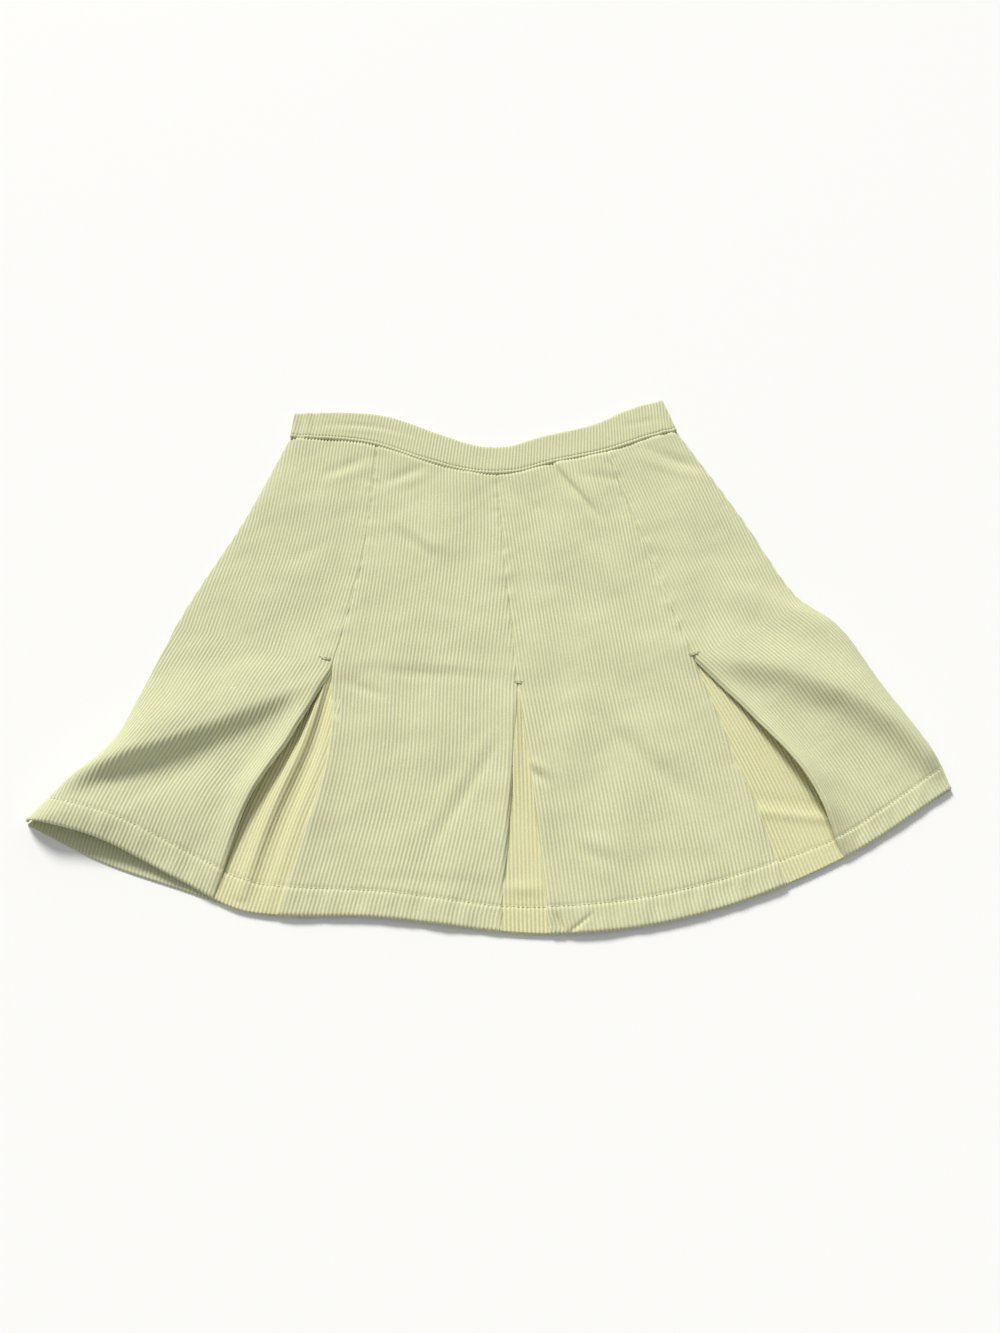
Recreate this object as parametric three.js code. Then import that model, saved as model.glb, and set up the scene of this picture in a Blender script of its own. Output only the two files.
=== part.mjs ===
// A flared corduroy mini skirt with three inverted pleats, laid flat on a table with its front up.
//
// It is a tube of cloth pressed flat: a front of four gores lies on one back panel, and three
// underlays lie between them, one behind each pleat. The waistband is a front strip and an
// elasticated back strip, each of two layers. Each gore of the sides has one long soft fold, which
// starts at the top of its pleat and lifts the hem near the side seam.
//
// Millimetres. +X runs to the right as one looks at the front, +Y from the hem to the waist, +Z up.
// The origin is at the middle of the skirt's box, on the table.

import * as THREE from "three";

// Cloth and seams.
const CLOTH = 1.4; // one layer of corduroy
const BAND_CLOTH = 2.6; // the waistband: corduroy folded over its interlining or elastic
const SEAM = 0.3; // the gap between two pieces that are sewn together
const LAYER_GAP = 0.5; // air between the back panel and an underlay

// Heights of the middle of each layer above the table.
const BACK_Z = CLOTH / 2;
const UNDERLAY_Z = CLOTH + LAYER_GAP + CLOTH / 2;
const FRONT_Z = UNDERLAY_Z + CLOTH + SEAM;
const SIDE_Z = CLOTH + SEAM + CLOTH / 2; // where the front comes down to the back at a side seam
const BACK_BAND_Z = BAND_CLOTH / 2;
const FRONT_BAND_Z = BAND_CLOTH + SEAM + BAND_CLOTH / 2;

// The waist seam, from the left side seam to the right one. height is the waistband's there.
const WAIST = [
  { x: -193, y: 232, height: 28 },
  { x: -145, y: 229, height: 32 },
  { x: -113, y: 223, height: 34 },
  { x: -73, y: 207, height: 33 },
  { x: -27, y: 193, height: 30 },
  { x: 12, y: 192, height: 30 },
  { x: 47, y: 203, height: 31 },
  { x: 98, y: 216, height: 33 },
  { x: 138, y: 232, height: 37 },
  { x: 163, y: 240, height: 37 },
];

// The hem's edge. On the left the back's hem hangs lower than the front's.
const HEM = [
  { x: -360, front: -133, back: -135 },
  { x: -300, front: -148, back: -163 },
  { x: -237, front: -178, back: -184 },
  { x: -185, front: -201, back: -199 },
  { x: -91, front: -205, back: -203 },
  { x: 40, front: -217, back: -215 },
  { x: 146, front: -203, back: -201 },
  { x: 257, front: -161, back: -159 },
  { x: 349, front: -106, back: -107 },
];

// The seams, and the lips that three of them open into, from the waist seam at level 0 to the hem
// at level 1. A corner is the top of a pleat, where a line may turn sharply. The end rows take their
// Y from the waist seam and the hem.
const TIP_LEVEL = 0.53;
const LEFT_SEAM = [
  { level: 0, x: -113, y: 223 },
  { level: 0.27, x: -118, y: 110 },
  { level: TIP_LEVEL, x: -137, y: -5, corner: true },
];
const CENTRE_SEAM = [
  { level: 0, x: -3, y: 191 },
  { level: 0.27, x: 4, y: 100 },
  { level: TIP_LEVEL, x: 15, y: -22, corner: true },
];
const RIGHT_SEAM = [
  { level: 0, x: 98, y: 216 },
  { level: 0.27, x: 127, y: 110 },
  { level: TIP_LEVEL, x: 159, y: 4, corner: true },
];
const EDGES = {
  sideLeft: [
    { level: 0, x: -193, y: 232 },
    { level: 0.25, x: -225, y: 142 },
    { level: 0.5, x: -266, y: 48 },
    { level: 0.72, x: -293, y: -36 },
    { level: 0.82, x: -306, y: -70 },
    { level: 0.92, x: -336, y: -103 },
    { level: 1, x: -360, y: -133 },
  ],
  leftOuter: [
    ...LEFT_SEAM,
    { level: 0.7, x: -164, y: -66 },
    { level: 0.85, x: -193, y: -122 },
    { level: 1, x: -210, y: -195 },
  ],
  leftInner: [...LEFT_SEAM, { level: 0.75, x: -137, y: -88 }, { level: 1, x: -164, y: -203 }],
  centreOuter: [...CENTRE_SEAM, { level: 0.75, x: 8, y: -114 }, { level: 1, x: 1, y: -213 }],
  centreInner: [...CENTRE_SEAM, { level: 0.75, x: 26, y: -108 }, { level: 1, x: 36, y: -217 }],
  rightOuter: [...RIGHT_SEAM, { level: 0.75, x: 186, y: -82 }, { level: 1, x: 213, y: -183 }],
  rightInner: [
    ...RIGHT_SEAM,
    { level: 0.66, x: 202, y: -50 },
    { level: 0.82, x: 237, y: -104 },
    { level: 1, x: 257, y: -161 },
  ],
  sideRight: [
    { level: 0, x: 163, y: 240 },
    { level: 0.28, x: 214, y: 142 },
    { level: 0.5, x: 250, y: 66 },
    { level: 0.6, x: 281, y: 37 },
    { level: 0.78, x: 310, y: -20 },
    { level: 0.92, x: 339, y: -76 },
    { level: 1, x: 349, y: -106 },
  ],
};

// The front's gores. A lift is how high the cloth stands at a pleat's lip, half way down it.
const GORES = [
  { name: "front_side_left", left: "sideLeft", right: "leftOuter", liftRight: 6, across: 18, down: 20 },
  { name: "front_centre_left", left: "leftInner", right: "centreOuter", liftLeft: 3, liftRight: 2, across: 10, down: 18 },
  { name: "front_centre_right", left: "centreInner", right: "rightOuter", liftLeft: 2, across: 10, down: 18 },
  { name: "front_side_right", left: "rightInner", right: "sideRight", liftLeft: 8, across: 18, down: 20 },
];
const LIP_REACH = 16; // how far from a lip its lift is felt

// The underlays. fold is the height of the soft fold that runs down one, and foldAt its place across.
const UNDERLAYS = [
  { name: "pleat_underlay_left", left: "leftOuter", right: "leftInner", fold: 3.5, foldAt: 0.45 },
  { name: "pleat_underlay_centre", left: "centreOuter", right: "centreInner", fold: 0, foldAt: 0.5 },
  { name: "pleat_underlay_right", left: "rightOuter", right: "rightInner", fold: 0, foldAt: 0.5 },
];
const UNDERLAY_MARGIN = 12; // how far an underlay runs on beneath each lip
const UNDERLAY_TOP = 0.49; // level of its top edge, just above the pleat's tip
const UNDERLAY_GRID = { across: 8, down: 10 };

// The large folds of the front. Each crest runs from start to end and bends sideways by bow. rise is
// its reach on the waist side and fall on the hem side, and startShare is its height at its start.
const FOLDS = [
  { start: [-140, -8], end: [-335, -98], bow: -5, height: 14, startShare: 0.1, rise: 40, fall: 16 },
  { start: [160, 8], end: [336, -74], bow: 18, height: 13, startShare: 0.15, rise: 34, fall: 18 },
  { start: [222, 58], end: [288, 30], bow: 0, height: 6, startShare: 0.3, rise: 13, fall: 22 },
];
// Where the hem of the front stands off the back, near the left side seam.
const HEM_LIFT = { x: -338, y: -132, reachX: 85, reachY: 32, height: 12 };
const FOLD_END = 30; // how softly a fold dies away past its ends
const SIDE_ROUND = 12; // least width of the rounded edge at a side seam

const BACK_GRID = { across: 40, down: 10 };
const BAND_GRID = { across: 40, down: 2 };

const clamp = (v, low, high) => Math.min(high, Math.max(low, v));
const mix = (a, b, share) => a + (b - a) * share;
const bell = (v) => Math.exp(-v * v);

// A smooth curve of the named column against the key column, through a table's rows.
function follow(table, at, column, key = "x") {
  const last = table.length - 1;
  let i = 0;
  while (i < last - 1 && at > table[i + 1][key]) i += 1;
  const [from, to] = [table[i], table[i + 1]];
  const slope = (a, b) => (b[column] - a[column]) / (b[key] - a[key]);
  const slopeFrom = from.corner ? slope(from, to) : slope(table[Math.max(0, i - 1)], to);
  const slopeTo = to.corner ? slope(from, to) : slope(from, table[Math.min(last, i + 2)]);
  const width = to[key] - from[key];
  const s = clamp((at - from[key]) / width, 0, 1);
  const [s2, s3] = [s * s, s * s * s];
  return (
    (2 * s3 - 3 * s2 + 1) * from[column] +
    (s3 - 2 * s2 + s) * width * slopeFrom +
    (3 * s2 - 2 * s3) * to[column] +
    (s3 - s2) * width * slopeTo
  );
}

// The point of an edge line at a level, moved sideways.
function edgePoint(name, level, side = 0, hem = "front") {
  const rows = EDGES[name].map((row) => ({ ...row }));
  const [top, bottom] = [rows[0], rows[rows.length - 1]];
  top.y = follow(WAIST, top.x, "y");
  bottom.y = follow(HEM, bottom.x, hem);
  const at = (v) => [follow(rows, v, "x", "level"), follow(rows, v, "y", "level")];
  const [x, y] = at(level);
  const [before, after] = [at(Math.max(0, level - 0.01)), at(Math.min(1, level + 0.01))];
  const [dx, dy] = [after[0] - before[0], after[1] - before[1]];
  const length = Math.hypot(dx, dy);
  return [x - (dy / length) * side, y + (dx / length) * side];
}

// The plan point of a patch between two edge lines, u across it and level down it. Half way down it
// is straight across, and it bends towards the waist seam above that and towards the hem below.
function planPoint({ left, right, spread = 0, hem = "front" }, u, level) {
  const straight = (at) => {
    const [a, b] = [edgePoint(left, at, -spread, hem), edgePoint(right, at, spread, hem)];
    return [mix(a[0], b[0], u), mix(a[1], b[1], u)];
  };
  const [x, y] = straight(level);
  const [waistX, waistY] = straight(0);
  const [hemX, hemY] = straight(1);
  const toWaist = clamp(1 - level / TIP_LEVEL, 0, 1) ** 2;
  const toHem = clamp((level - TIP_LEVEL) / (1 - TIP_LEVEL), 0, 1) ** 2;
  const atWaist = follow(WAIST, waistX, "y") - waistY;
  const atHem = follow(HEM, hemX, hem) - hemY;
  return [x, y + toWaist * atWaist + toHem * atHem];
}

// How high the large folds lift the front at a plan point.
function foldHeight(x, y) {
  let height = 0;
  for (const fold of FOLDS) {
    const [dx, dy] = [fold.end[0] - fold.start[0], fold.end[1] - fold.start[1]];
    const length = Math.hypot(dx, dy);
    const [px, py] = [x - fold.start[0], y - fold.start[1]];
    const along = (px * dx + py * dy) / length;
    const s = clamp(along / length, 0, 1);
    const up = Math.sign(dx); // turns the crest's normal towards the waist
    const off = ((py * dx - px * dy) / length) * up - fold.bow * 4 * s * (1 - s);
    const past = along - s * length;
    const swell = fold.startShare + (1 - fold.startShare) * Math.sin((s * Math.PI) / 2);
    height += fold.height * swell * bell(off / (off > 0 ? fold.rise : fold.fall)) * bell(past / FOLD_END);
  }
  const [offX, offY] = [(x - HEM_LIFT.x) / HEM_LIFT.reachX, (y - HEM_LIFT.y) / HEM_LIFT.reachY];
  return height + HEM_LIFT.height * bell(offX) * bell(offY);
}

// The middle surface of a gore: u runs across it and v down it.
function goreSurface(gore) {
  return (u, v) => {
    const [x, y] = planPoint({ ...gore, spread: -SEAM / 2 }, u, v);
    const [left, right] = [edgePoint(gore.left, v), edgePoint(gore.right, v)];
    const width = Math.hypot(right[0] - left[0], right[1] - left[1]);
    const open = Math.sin(Math.PI * clamp((v - TIP_LEVEL) / (1 - TIP_LEVEL), 0, 1));
    const lipLeft = (gore.liftLeft ?? 0) * open * bell((u * width) / LIP_REACH);
    const lipRight = (gore.liftRight ?? 0) * open * bell(((1 - u) * width) / LIP_REACH);
    const flat = FRONT_Z + foldHeight(x, y) + lipLeft + lipRight;
    let toSide = Infinity;
    if (gore.left === "sideLeft") toSide = u * width;
    if (gore.right === "sideRight") toSide = (1 - u) * width;
    const inward = clamp(toSide / (SIDE_ROUND + flat - FRONT_Z), 0, 1);
    const rounded = Math.sqrt(1 - (1 - inward) ** 2);
    return new THREE.Vector3(x, y, mix(SIDE_Z, flat, rounded));
  };
}

// The middle surface of an underlay.
function underlaySurface(underlay) {
  return (u, v) => {
    const level = mix(UNDERLAY_TOP, 1, v);
    const [x, y] = planPoint({ ...underlay, spread: UNDERLAY_MARGIN }, u, level);
    const open = Math.sin(Math.PI * clamp((level - TIP_LEVEL) / (1 - TIP_LEVEL), 0, 1));
    return new THREE.Vector3(x, y, UNDERLAY_Z + underlay.fold * open * bell((u - underlay.foldAt) / 0.12));
  };
}

// The middle surface of the back panel, flat on the table.
function backSurface(u, v) {
  const [x, y] = planPoint({ left: "sideLeft", right: "sideRight", hem: "back" }, u, v);
  return new THREE.Vector3(x, y, BACK_Z);
}

// The middle surface of a waistband strip, which follows the waist seam.
function bandSurface(height) {
  return (u, v) => {
    const x = mix(WAIST[0].x, WAIST[WAIST.length - 1].x, u);
    const step = 1;
    const slope = (follow(WAIST, x + step, "y") - follow(WAIST, x - step, "y")) / (2 * step);
    const up = SEAM + (1 - v) * follow(WAIST, x, "height");
    const length = Math.hypot(1, slope);
    return new THREE.Vector3(x - (slope / length) * up, follow(WAIST, x, "y") + up / length, height);
  };
}

// A closed wall of cloth on both sides of a middle surface.
function clothWall(surface, thickness, { across, down }) {
  const columns = across + 1;
  const count = columns * (down + 1);
  const positions = new Float32Array(count * 2 * 3);
  const step = 1e-3;
  for (let j = 0; j <= down; j += 1) {
    for (let i = 0; i <= across; i += 1) {
      const [u, v] = [i / across, j / down];
      const p = surface(u, v);
      const [u0, u1] = [Math.max(0, u - step), Math.min(1, u + step)];
      const [v0, v1] = [Math.max(0, v - step), Math.min(1, v + step)];
      const alongU = surface(u1, v).sub(surface(u0, v));
      const alongV = surface(u, v1).sub(surface(u, v0));
      const normal = alongU.cross(alongV).normalize();
      if (normal.z < 0) normal.negate();
      normal.multiplyScalar(thickness / 2);
      const k = j * columns + i;
      p.clone().add(normal).toArray(positions, k * 3);
      p.clone().sub(normal).toArray(positions, (count + k) * 3);
    }
  }
  const index = [];
  // One quad of the wall, its corners in order round the face that looks outwards.
  const quad = (a, b, c, d) => index.push(a, b, c, a, c, d);
  const top = (i, j) => j * columns + i;
  const under = (i, j) => count + top(i, j);
  for (let j = 0; j < down; j += 1) {
    for (let i = 0; i < across; i += 1) {
      quad(top(i, j), top(i, j + 1), top(i + 1, j + 1), top(i + 1, j));
      quad(under(i, j), under(i + 1, j), under(i + 1, j + 1), under(i, j + 1));
    }
    quad(top(0, j), under(0, j), under(0, j + 1), top(0, j + 1));
    quad(top(across, j), top(across, j + 1), under(across, j + 1), under(across, j));
  }
  for (let i = 0; i < across; i += 1) {
    quad(top(i, 0), top(i + 1, 0), under(i + 1, 0), under(i, 0));
    quad(top(i, down), under(i, down), under(i + 1, down), top(i + 1, down));
  }
  const geometry = new THREE.BufferGeometry();
  geometry.setAttribute("position", new THREE.BufferAttribute(positions, 3));
  geometry.setIndex(index);
  geometry.computeVertexNormals();
  return geometry;
}

const corduroy = new THREE.MeshStandardMaterial({ color: 0xe3e4b4, roughness: 0.95, metalness: 0 });
const skirt = new THREE.Group();

function addPiece(name, geometry) {
  const mesh = new THREE.Mesh(geometry, corduroy.clone());
  mesh.name = name;
  skirt.add(mesh);
}

addPiece("back_panel", clothWall(backSurface, CLOTH, BACK_GRID));
for (const underlay of UNDERLAYS) {
  addPiece(underlay.name, clothWall(underlaySurface(underlay), CLOTH, UNDERLAY_GRID));
}
for (const gore of GORES) {
  addPiece(gore.name, clothWall(goreSurface(gore), CLOTH, gore));
}
addPiece("waistband_back", clothWall(bandSurface(BACK_BAND_Z), BAND_CLOTH, BAND_GRID));
addPiece("waistband_front", clothWall(bandSurface(FRONT_BAND_Z), BAND_CLOTH, BAND_GRID));

// Sets the origin at the middle of the skirt's box, on the table.
const box = new THREE.Box3().setFromObject(skirt, true);
const middle = box.getCenter(new THREE.Vector3());
skirt.position.set(-middle.x, -middle.y, -box.min.z);

const model = new THREE.Group();
model.add(skirt);
export default model;
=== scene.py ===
"""A flared corduroy mini skirt with three inverted pleats, laid flat on a table.

Each panel is a thin shell of cloth on the same curves as its solid, with the wales of the corduroy,
the creases and the stitching as real relief. Lengths in the tables are millimetres on the pattern's
own axes: +X to the right as one looks at the front, +Y from hem to waist, +Z up off the table.
"""

import logging
import math
from dataclasses import dataclass, field
from enum import Enum
from typing import Any, Callable, Optional, Sequence

import bpy
import numpy as np
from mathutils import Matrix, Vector


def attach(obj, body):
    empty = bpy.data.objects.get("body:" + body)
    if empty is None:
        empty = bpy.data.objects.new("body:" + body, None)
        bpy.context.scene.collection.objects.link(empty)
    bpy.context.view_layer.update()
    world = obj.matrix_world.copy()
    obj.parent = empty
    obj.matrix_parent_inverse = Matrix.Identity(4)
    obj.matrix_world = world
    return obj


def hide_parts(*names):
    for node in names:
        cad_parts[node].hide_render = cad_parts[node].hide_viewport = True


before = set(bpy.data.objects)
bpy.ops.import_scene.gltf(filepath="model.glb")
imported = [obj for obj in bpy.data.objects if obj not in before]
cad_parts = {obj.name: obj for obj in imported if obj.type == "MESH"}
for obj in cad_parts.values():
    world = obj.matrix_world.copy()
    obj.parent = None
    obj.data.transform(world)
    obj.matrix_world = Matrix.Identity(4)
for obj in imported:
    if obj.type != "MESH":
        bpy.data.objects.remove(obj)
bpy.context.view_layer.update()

LOG = logging.getLogger("skirt")

MM = 0.001
BOX_MIDDLE = (-5.46, 29.90)  # the middle of the skirt's box on the pattern's axes

# Cloth, as in the solids.
CLOTH = 1.4
BAND_CLOTH = 2.6
SEAM = 0.3
LAYER_GAP = 0.5
BACK_Z = CLOTH / 2
UNDERLAY_Z = CLOTH + LAYER_GAP + CLOTH / 2
FRONT_Z = UNDERLAY_Z + CLOTH + SEAM
SIDE_Z = CLOTH + SEAM + CLOTH / 2
BACK_BAND_Z = BAND_CLOTH / 2
FRONT_BAND_Z = BAND_CLOTH + SEAM + BAND_CLOTH / 2
PANEL_LENGTH = 425.0  # from the waist seam at level 0 to the hem at level 1
HEM_DEPTH = 19.0  # how far the hem is turned up
TIP_LEVEL = 0.53  # where the pleats start, from the waist seam at 0 to the hem at 1

# An 11-wale cloth has a wale each 2.35 mm. They are drawn a little wider so that each one shows.
WALE_PITCH = 3.0
WALE_DEPTH = 0.62
COLUMNS_PER_WALE = 4
GRAIN_STEPS = 181  # points across a row, along which its wales are measured
TUFTS = 0.08  # how unevenly the pile stands

UP = (0.0, 0.0, 1.0)

Array = np.ndarray
PlanPoint = tuple[float, float]
Surface = Callable[[Array, Array], Array]


def bell(value: Array) -> Array:
    """A smooth bump of height 1 at 0."""
    return np.exp(-value * value)


def ease(value: Array) -> Array:
    """A smooth step from 0 to 1."""
    held = np.clip(value, 0.0, 1.0)
    return held * held * (3.0 - 2.0 * held)


def to_frame(points: Array) -> Array:
    """Points of the pattern in metres on the frame's axes."""
    return (points - np.array([BOX_MIDDLE[0], BOX_MIDDLE[1], 0.0])) * MM


@dataclass(frozen=True)
class Curve:
    """A smooth curve through points, which may turn sharply at one of them.

    Args:
        keys: where the points are, rising.
        values: the points' values.
        corner: the key of the sharp point, if there is one.
    """

    keys: tuple[float, ...]
    values: tuple[float, ...]
    corner: Optional[float] = None

    def __call__(self, at: Array) -> Array:
        """The curve's value at each key in at."""
        keys, values = np.array(self.keys), np.array(self.values)
        at = np.clip(np.asarray(at, float), keys[0], keys[-1])
        last = len(keys) - 1
        i = np.clip(np.searchsorted(keys, at, side="left") - 1, 0, last - 1)
        before, after = np.maximum(i - 1, 0), np.minimum(i + 2, last)
        if self.corner is not None:
            before = np.where(np.isclose(keys[i], self.corner), i, before)
            after = np.where(np.isclose(keys[i + 1], self.corner), i + 1, after)
        width = keys[i + 1] - keys[i]
        slope_from = (values[i + 1] - values[before]) / (keys[i + 1] - keys[before])
        slope_to = (values[after] - values[i]) / (keys[after] - keys[i])
        s = (at - keys[i]) / width
        s2, s3 = s * s, s * s * s
        return (
            (2 * s3 - 3 * s2 + 1) * values[i]
            + (s3 - 2 * s2 + s) * width * slope_from
            + (3 * s2 - 2 * s3) * values[i + 1]
            + (s3 - s2) * width * slope_to
        )


WAIST_X = (-193, -145, -113, -73, -27, 12, 47, 98, 138, 163)
WAIST = Curve(WAIST_X, (232, 229, 223, 207, 193, 192, 203, 216, 232, 240))
BAND_HEIGHT = Curve(WAIST_X, (28, 32, 34, 33, 30, 30, 31, 33, 37, 37))
HEM_X = (-360, -300, -237, -185, -91, 40, 146, 257, 349)
FRONT_HEM = Curve(HEM_X, (-133, -148, -178, -201, -205, -217, -203, -161, -106))
BACK_HEM = Curve(HEM_X, (-135, -163, -184, -199, -203, -215, -201, -159, -107))


@dataclass(frozen=True)
class Edge:
    """A seam, or a seam and the lip it opens into: rows of level, X and Y from waist to hem."""

    rows: tuple[tuple[float, float, float], ...]

    def points(self, level: Array, side: float = 0.0, hem: Curve = FRONT_HEM) -> Array:
        """Plan points of the edge.

        Args:
            level: 0 at the waist seam and 1 at the hem.
            side: how far the points are moved towards +X.
            hem: the curve that the edge ends on.

        Returns:
            X and Y, stacked along the last axis.
        """
        level = np.asarray(level, float)
        keys, xs, ys = (list(column) for column in zip(*self.rows))
        ys[0], ys[-1] = float(WAIST(xs[0])), float(hem(xs[-1]))
        corner = TIP_LEVEL if TIP_LEVEL in keys else None
        curves = [Curve(tuple(keys), tuple(values), corner) for values in (xs, ys)]
        here = np.stack([curve(level) for curve in curves], -1)
        ahead = np.stack([curve(np.minimum(level + 0.01, 1)) for curve in curves], -1)
        behind = np.stack([curve(np.maximum(level - 0.01, 0)) for curve in curves], -1)
        along = ahead - behind
        along /= np.linalg.norm(along, axis=-1, keepdims=True)
        return here + side * np.stack([-along[..., 1], along[..., 0]], -1)


LEFT_SEAM = ((0, -113, 223), (0.27, -118, 110), (TIP_LEVEL, -137, -5))
CENTRE_SEAM = ((0, -3, 191), (0.27, 4, 100), (TIP_LEVEL, 15, -22))
RIGHT_SEAM = ((0, 98, 216), (0.27, 127, 110), (TIP_LEVEL, 159, 4))
SIDE_LEFT = Edge(
    (
        (0, -193, 232),
        (0.25, -225, 142),
        (0.5, -266, 48),
        (0.72, -293, -36),
        (0.82, -306, -70),
        (0.92, -336, -103),
        (1, -360, -133),
    )
)
LEFT_OUTER = Edge((*LEFT_SEAM, (0.7, -164, -66), (0.85, -193, -122), (1, -210, -195)))
LEFT_INNER = Edge((*LEFT_SEAM, (0.75, -137, -88), (1, -164, -203)))
CENTRE_OUTER = Edge((*CENTRE_SEAM, (0.75, 8, -114), (1, 1, -213)))
CENTRE_INNER = Edge((*CENTRE_SEAM, (0.75, 26, -108), (1, 36, -217)))
RIGHT_OUTER = Edge((*RIGHT_SEAM, (0.75, 186, -82), (1, 213, -183)))
RIGHT_INNER = Edge((*RIGHT_SEAM, (0.66, 202, -50), (0.82, 237, -104), (1, 257, -161)))
SIDE_RIGHT = Edge(
    (
        (0, 163, 240),
        (0.28, 214, 142),
        (0.5, 250, 66),
        (0.6, 281, 37),
        (0.78, 310, -20),
        (0.92, 339, -76),
        (1, 349, -106),
    )
)


FOLD_END = 30.0  # how softly a fold dies away past its ends
CREASE_OVERRUN = 0.15  # share of its length by which a crease fades out past each end


@dataclass(frozen=True)
class Fold:
    """A large soft fold, on the same crest line as in the solids.

    Args:
        start: where its crest starts.
        end: where its crest ends.
        bow: how far the crest bends sideways.
        height: how high it stands at its end.
        start_share: its height at its start, as a share of that.
        rise: its reach on the waist side.
        fall: its reach on the hem side.
    """

    start: PlanPoint
    end: PlanPoint
    bow: float
    height: float
    start_share: float
    rise: float
    fall: float

    def lift(self, x: Array, y: Array) -> Array:
        """How high the fold lifts the cloth at plan points."""
        dx, dy = self.end[0] - self.start[0], self.end[1] - self.start[1]
        length = math.hypot(dx, dy)
        px, py = x - self.start[0], y - self.start[1]
        along = (px * dx + py * dy) / length
        s = np.clip(along / length, 0, 1)
        off = (py * dx - px * dy) / length * math.copysign(1, dx) - self.bow * 4 * s * (1 - s)
        swell = self.start_share + (1 - self.start_share) * np.sin(s * math.pi / 2)
        reach = np.where(off > 0, self.rise, self.fall)
        return self.height * swell * bell(off / reach) * bell((along - s * length) / FOLD_END)


@dataclass(frozen=True)
class Crease:
    """A small crease: a soft ridge if its height is positive and a trough if it is negative.

    Args:
        start: where it starts.
        end: where it ends.
        height: how far it stands up at its middle.
        width: its reach on the side to the left of its run.
        other: its reach on the other side, the same unless given.
    """

    start: PlanPoint
    end: PlanPoint
    height: float
    width: float
    other: float = 0.0

    def lift(self, x: Array, y: Array) -> Array:
        """How high the crease lifts the cloth at plan points."""
        dx, dy = self.end[0] - self.start[0], self.end[1] - self.start[1]
        length = math.hypot(dx, dy)
        px, py = x - self.start[0], y - self.start[1]
        along = (px * dx + py * dy) / length / length
        off = (py * dx - px * dy) / length
        share = (along + CREASE_OVERRUN) / (1 + 2 * CREASE_OVERRUN)
        taper = np.sin(np.clip(share, 0, 1) * math.pi)
        reach = np.where(off > 0, self.width, self.other or self.width)
        return self.height * taper * bell(off / reach)


FOLDS = (
    Fold((-140, -8), (-335, -98), bow=-5, height=17, start_share=0.1, rise=40, fall=12),
    Fold((160, 8), (336, -74), bow=18, height=14, start_share=0.2, rise=34, fall=15),
    Fold((222, 58), (288, 30), bow=0, height=6, start_share=0.3, rise=13, fall=22),
)

# Where the hem of the front stands off the back, near the left side seam.
HEM_LIFT_AT = (-338, -132)
HEM_LIFT_REACH = (85, 32)
HEM_LIFT = 14.0

# Waves all over the front, each set with its size, its height and its turn in radians.
HANDLING = ((83, 0.75, 0.4), (47, 0.55, 1.9), (29, 0.32, 2.7), (17, 0.16, 1.1))
WAVES_ACROSS = 3.3
WAVES_ALONG = 2.6
MEANDER = 1.7
MEANDERS_ALONG = 2.1

# The creases of the front, given one by one. Most troughs have their ridge beside them.
CREASES = (
    Crease((-160, 190), (-122, 209), -1.5, 5),
    Crease((-156, 181), (-118, 199), 1.0, 5),
    Crease((-104, 183), (-70, 198), -1.4, 4),
    Crease((-100, 176), (-64, 190), 0.9, 5),
    Crease((-124, 188), (-106, 177), -1.2, 3),
    Crease((47, 204), (86, 148), -2.4, 1.6, 6),
    Crease((54, 205), (92, 152), 1.3, 6),
    Crease((134, 219), (192, 193), -1.7, 6, 4),
    Crease((128, 207), (176, 188), 1.2, 5),
    Crease((70, 190), (112, 186), -1.0, 4),
    Crease((-92, 140), (-52, 110), 1.2, 6),
    Crease((-86, 128), (-58, 104), -0.9, 5),
    Crease((12, 172), (36, 150), -0.7, 5),
    Crease((-104, -6), (-7, -11), -1.1, 4),
    Crease((-106, 3), (-10, -2), 0.8, 6),
    Crease((-126, -16), (-92, -29), -1.3, 3.5),
    Crease((-3, -72), (-50, -150), -1.2, 4, 7),
    Crease((-10, -66), (-58, -142), 0.9, 7),
    Crease((-102, -176), (-6, -181), -0.9, 4),
    Crease((80, -49), (140, -109), -1.3, 7),
    Crease((88, -38), (150, -98), 0.9, 9),
    Crease((58, -154), (86, -166), -1.1, 5),
    Crease((60, -145), (92, -158), 0.8, 6),
    Crease((22, -90), (36, -101), -2.2, 1.8, 4),
    Crease((24, -84), (40, -95), 1.4, 3),
    Crease((-150, 120), (-190, 90), -0.7, 8),
    Crease((-60, 60), (-16, 44), -0.7, 7),
    Crease((40, 76), (104, 62), -0.6, 8),
    Crease((176, 120), (214, 70), -0.7, 8),
    Crease((-215, -75), (-300, -126), -0.9, 7),
    Crease((236, -84), (300, -124), 0.8, 10),
    Crease((42, -204), (48, -218), -1.6, 1.4),
    Crease((48, -218), (66, -204), -1.6, 1.4),
)


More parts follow.
